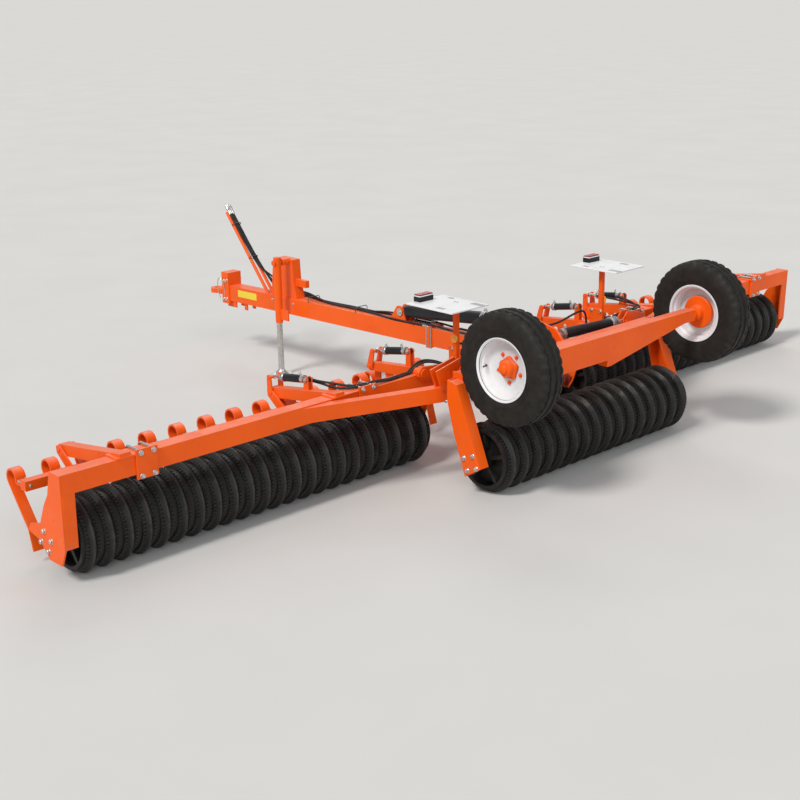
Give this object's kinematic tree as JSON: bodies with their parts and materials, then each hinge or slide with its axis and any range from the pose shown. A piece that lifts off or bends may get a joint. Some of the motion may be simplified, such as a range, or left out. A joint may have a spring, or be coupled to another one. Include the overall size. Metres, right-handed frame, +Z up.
{
  "type": "field roller",
  "caption": "Towed folding field roller: ringed centre and wing rolls, tipping drawbar, transport wheels, levelling tine boards, board cylinders and lowered jack.",
  "frame": {"origin": "on the ground, in the middle of the width and halfway between the back of the tyres and the front of the towing eye", "axes": "X forward to the towing eye, Y to the left, Z up; the rolls stand on Z = 0"},
  "size_m": [5.002, 7.44, 1.3349],
  "materials": {
    "frame_paint": "saturated orange paint on the steel frame",
    "roll_iron": "dark rough cast iron",
    "tyre": "black tyre rubber",
    "hose_rubber": "black rubber hose",
    "rim_steel": "silver-white painted rim",
    "cylinder_black": "black cylinder paint",
    "rod_chrome": "bright piston rod",
    "bearing_iron": "red-brown bearing housing",
    "spring_paint": "orange paint on the spring tines",
    "white_panel": "white sheet",
    "lamp_lens": "red lens on a dark lamp box",
    "amber_lens": "amber reflector"
  },
  "bodies": {
    "centre_frame": {"main_beam": "frame_paint", "side_beams": "frame_paint", "end_legs": "frame_paint", "centre_bearings": "bearing_iron", "axle_frame": "frame_paint", "tip_mast": "frame_paint", "light_posts": "frame_paint", "light_boards": "white_panel", "lamps": "lamp_lens", "reflectors": "amber_lens"},
    "centre_roll": {"roll_centre": "roll_iron"},
    "drawbar": {"drawbar": "frame_paint", "hitch_head": "frame_paint", "jack_post": "frame_paint", "hose_holder": "frame_paint", "hoses_drawbar": "hose_rubber"},
    "jack_tube": {"jack_tube": "frame_paint"},
    "jack_leg": {"jack_leg": "frame_paint"},
    "tip_barrel": {"tip_barrel": "cylinder_black"},
    "tip_rod": {"tip_rod": "rod_chrome"},
    "wheel_left": {"tyre_left": "tyre", "rim_left": "rim_steel", "hub_left": "frame_paint"},
    "wing_left": {"wing_beam_left": "frame_paint", "wing_legs_left": "frame_paint", "wing_bearings_left": "bearing_iron", "board_arms_left": "frame_paint", "hoses_wing_left": "hose_rubber"},
    "roll_left": {"roll_left": "roll_iron"},
    "fold_barrel_left": {"fold_barrel_left": "cylinder_black"},
    "fold_rod_left": {"fold_rod_left": "rod_chrome"},
    "board_left": {"board_left": "spring_paint"},
    "board_barrel_left": {"board_barrel_left": "cylinder_black"},
    "board_rod_left": {"board_rod_left": "rod_chrome"},
    "inner_board_left": {"inner_board_left": "spring_paint"},
    "inner_barrel_left": {"inner_barrel_left": "cylinder_black"},
    "inner_rod_left": {"inner_rod_left": "rod_chrome"},
    "wheel_right": {"tyre_right": "tyre", "rim_right": "rim_steel", "hub_right": "frame_paint"},
    "wing_right": {"wing_beam_right": "frame_paint", "wing_legs_right": "frame_paint", "wing_bearings_right": "bearing_iron", "board_arms_right": "frame_paint", "hoses_wing_right": "hose_rubber"},
    "roll_right": {"roll_right": "roll_iron"},
    "fold_barrel_right": {"fold_barrel_right": "cylinder_black"},
    "fold_rod_right": {"fold_rod_right": "rod_chrome"},
    "board_right": {"board_right": "spring_paint"},
    "board_barrel_right": {"board_barrel_right": "cylinder_black"},
    "board_rod_right": {"board_rod_right": "rod_chrome"},
    "inner_board_right": {"inner_board_right": "spring_paint"},
    "inner_barrel_right": {"inner_barrel_right": "cylinder_black"},
    "inner_rod_right": {"inner_rod_right": "rod_chrome"}
  },
  "joints": [
    {"name": "centre_roll_turn", "type": "hinge", "parent": "centre_frame", "child": "centre_roll", "pos_m": [-1.861, 0, 0.24], "axis": [0, 1, 0], "continuous": true},
    {"name": "drawbar_tip", "type": "hinge", "parent": "centre_frame", "child": "drawbar", "pos_m": [-1.411, 0, 0.62], "axis": [0, 1, 0], "range_deg": [-4, 95]},
    {"name": "tip_barrel_swing", "type": "hinge", "parent": "drawbar", "child": "tip_barrel", "pos_m": [-0.071, 0, 0.77], "axis": [0, 1, 0], "range_deg": [-5.34, 0.42]},
    {"name": "tip_rod_slide", "type": "slide", "parent": "tip_barrel", "child": "tip_rod", "axis": [-0.995, 0, 0.0995], "range_m": [-0.02057, 0.4659]},
    {"name": "jack_swing", "type": "hinge", "parent": "drawbar", "child": "jack_tube", "pos_m": [1.319, 0.165, 0.99], "axis": [0, 1, 0], "range_deg": [0, 90]},
    {"name": "jack_leg_slide", "type": "slide", "parent": "jack_tube", "child": "jack_leg", "axis": [0, 0, 1], "range_m": [0, 0.282]},
    {"name": "wheel_turn_left", "type": "hinge", "parent": "centre_frame", "child": "wheel_left", "pos_m": [-2.126, 1.03, 0.926], "axis": [0, 1, 0], "continuous": true},
    {"name": "wing_fold_left", "type": "hinge", "parent": "centre_frame", "child": "wing_left", "pos_m": [-1.531, 0.96, 0.7], "axis": [-1, 0, 0], "range_deg": [-10, 90]},
    {"name": "roll_turn_left", "type": "hinge", "parent": "wing_left", "child": "roll_left", "pos_m": [-1.026, 2.235, 0.24], "axis": [0, 1, 0], "continuous": true},
    {"name": "fold_barrel_swing_left", "type": "hinge", "parent": "centre_frame", "child": "fold_barrel_left", "pos_m": [-1.531, 0.123, 0.812], "axis": [-1, 0, 0], "range_deg": [-0.26, 0.74]},
    {"name": "fold_rod_slide_left", "type": "slide", "parent": "fold_barrel_left", "child": "fold_rod_left", "axis": [0, 0.9989, -0.0476], "range_m": [-0.01607, 0.1366]},
    {"name": "board_tilt_left", "type": "hinge", "parent": "wing_left", "child": "board_left", "pos_m": [-0.571, 1.69, 0.585], "axis": [0, -1, 0], "range_deg": [-5, 35]},
    {"name": "board_barrel_swing_left", "type": "hinge", "parent": "wing_left", "child": "board_barrel_left", "pos_m": [-0.925, 1.69, 0.744], "axis": [0, -1, 0], "range_deg": [-4.72, 0.85]},
    {"name": "board_rod_slide_left", "type": "slide", "parent": "board_barrel_left", "child": "board_rod_left", "axis": [0.9898, 0, -0.1426], "range_m": [-0.05986, 0.00941]},
    {"name": "inner_board_tilt_left", "type": "hinge", "parent": "wing_left", "child": "inner_board_left", "pos_m": [-0.711, 0.91, 0.64], "axis": [0, -1, 0], "range_deg": [-5, 35]},
    {"name": "inner_barrel_swing_left", "type": "hinge", "parent": "wing_left", "child": "inner_barrel_left", "pos_m": [-1.087, 0.91, 0.815], "axis": [0, -1, 0], "range_deg": [-9.94, 1.59]},
    {"name": "inner_rod_slide_left", "type": "slide", "parent": "inner_barrel_left", "child": "inner_rod_left", "axis": [0.9849, 0, -0.1733], "range_m": [-0.04833, 0.00776]},
    {"name": "wheel_turn_right", "type": "hinge", "parent": "centre_frame", "child": "wheel_right", "pos_m": [-2.126, -1.03, 0.926], "axis": [0, 1, 0], "continuous": true},
    {"name": "wing_fold_right", "type": "hinge", "parent": "centre_frame", "child": "wing_right", "pos_m": [-1.531, -0.96, 0.7], "axis": [1, 0, 0], "range_deg": [-10, 90]},
    {"name": "roll_turn_right", "type": "hinge", "parent": "wing_right", "child": "roll_right", "pos_m": [-1.026, -2.235, 0.24], "axis": [0, 1, 0], "continuous": true},
    {"name": "fold_barrel_swing_right", "type": "hinge", "parent": "centre_frame", "child": "fold_barrel_right", "pos_m": [-1.531, -0.123, 0.812], "axis": [1, 0, 0], "range_deg": [-0.26, 0.74]},
    {"name": "fold_rod_slide_right", "type": "slide", "parent": "fold_barrel_right", "child": "fold_rod_right", "axis": [0, -0.9989, -0.0476], "range_m": [-0.01607, 0.1366]},
    {"name": "board_tilt_right", "type": "hinge", "parent": "wing_right", "child": "board_right", "pos_m": [-0.571, -1.69, 0.585], "axis": [0, -1, 0], "range_deg": [-5, 35]},
    {"name": "board_barrel_swing_right", "type": "hinge", "parent": "wing_right", "child": "board_barrel_right", "pos_m": [-0.925, -1.69, 0.744], "axis": [0, -1, 0], "range_deg": [-4.72, 0.85]},
    {"name": "board_rod_slide_right", "type": "slide", "parent": "board_barrel_right", "child": "board_rod_right", "axis": [0.9898, 0, -0.1426], "range_m": [-0.05986, 0.00941]},
    {"name": "inner_board_tilt_right", "type": "hinge", "parent": "wing_right", "child": "inner_board_right", "pos_m": [-0.711, -0.91, 0.64], "axis": [0, -1, 0], "range_deg": [-5, 35]},
    {"name": "inner_barrel_swing_right", "type": "hinge", "parent": "wing_right", "child": "inner_barrel_right", "pos_m": [-1.087, -0.91, 0.815], "axis": [0, -1, 0], "range_deg": [-9.94, 1.59]},
    {"name": "inner_rod_slide_right", "type": "slide", "parent": "inner_barrel_right", "child": "inner_rod_right", "axis": [0.9849, 0, -0.1733], "range_m": [-0.04833, 0.00776]}
  ],
  "couplings": [
    {"joint": "tip_barrel_swing", "follows": "drawbar_tip", "ratio": -0.05409},
    {"joint": "tip_rod_slide", "follows": "drawbar_tip", "m_per_rad": 0.28038},
    {"joint": "fold_barrel_swing_left", "follows": "wing_fold_left", "ratio": 0.005967},
    {"joint": "fold_rod_slide_left", "follows": "wing_fold_left", "m_per_rad": 0.086326},
    {"joint": "board_barrel_swing_left", "follows": "board_tilt_left", "ratio": -0.12917},
    {"joint": "board_rod_slide_left", "follows": "board_tilt_left", "m_per_rad": -0.096356},
    {"joint": "inner_barrel_swing_left", "follows": "inner_board_tilt_left", "ratio": -0.2784},
    {"joint": "inner_rod_slide_left", "follows": "inner_board_tilt_left", "m_per_rad": -0.077488},
    {"joint": "fold_barrel_swing_right", "follows": "wing_fold_right", "ratio": 0.005967},
    {"joint": "fold_rod_slide_right", "follows": "wing_fold_right", "m_per_rad": 0.086326},
    {"joint": "board_barrel_swing_right", "follows": "board_tilt_right", "ratio": -0.12917},
    {"joint": "board_rod_slide_right", "follows": "board_tilt_right", "m_per_rad": -0.096356},
    {"joint": "inner_barrel_swing_right", "follows": "inner_board_tilt_right", "ratio": -0.2784},
    {"joint": "inner_rod_slide_right", "follows": "inner_board_tilt_right", "m_per_rad": -0.077488}
  ]
}
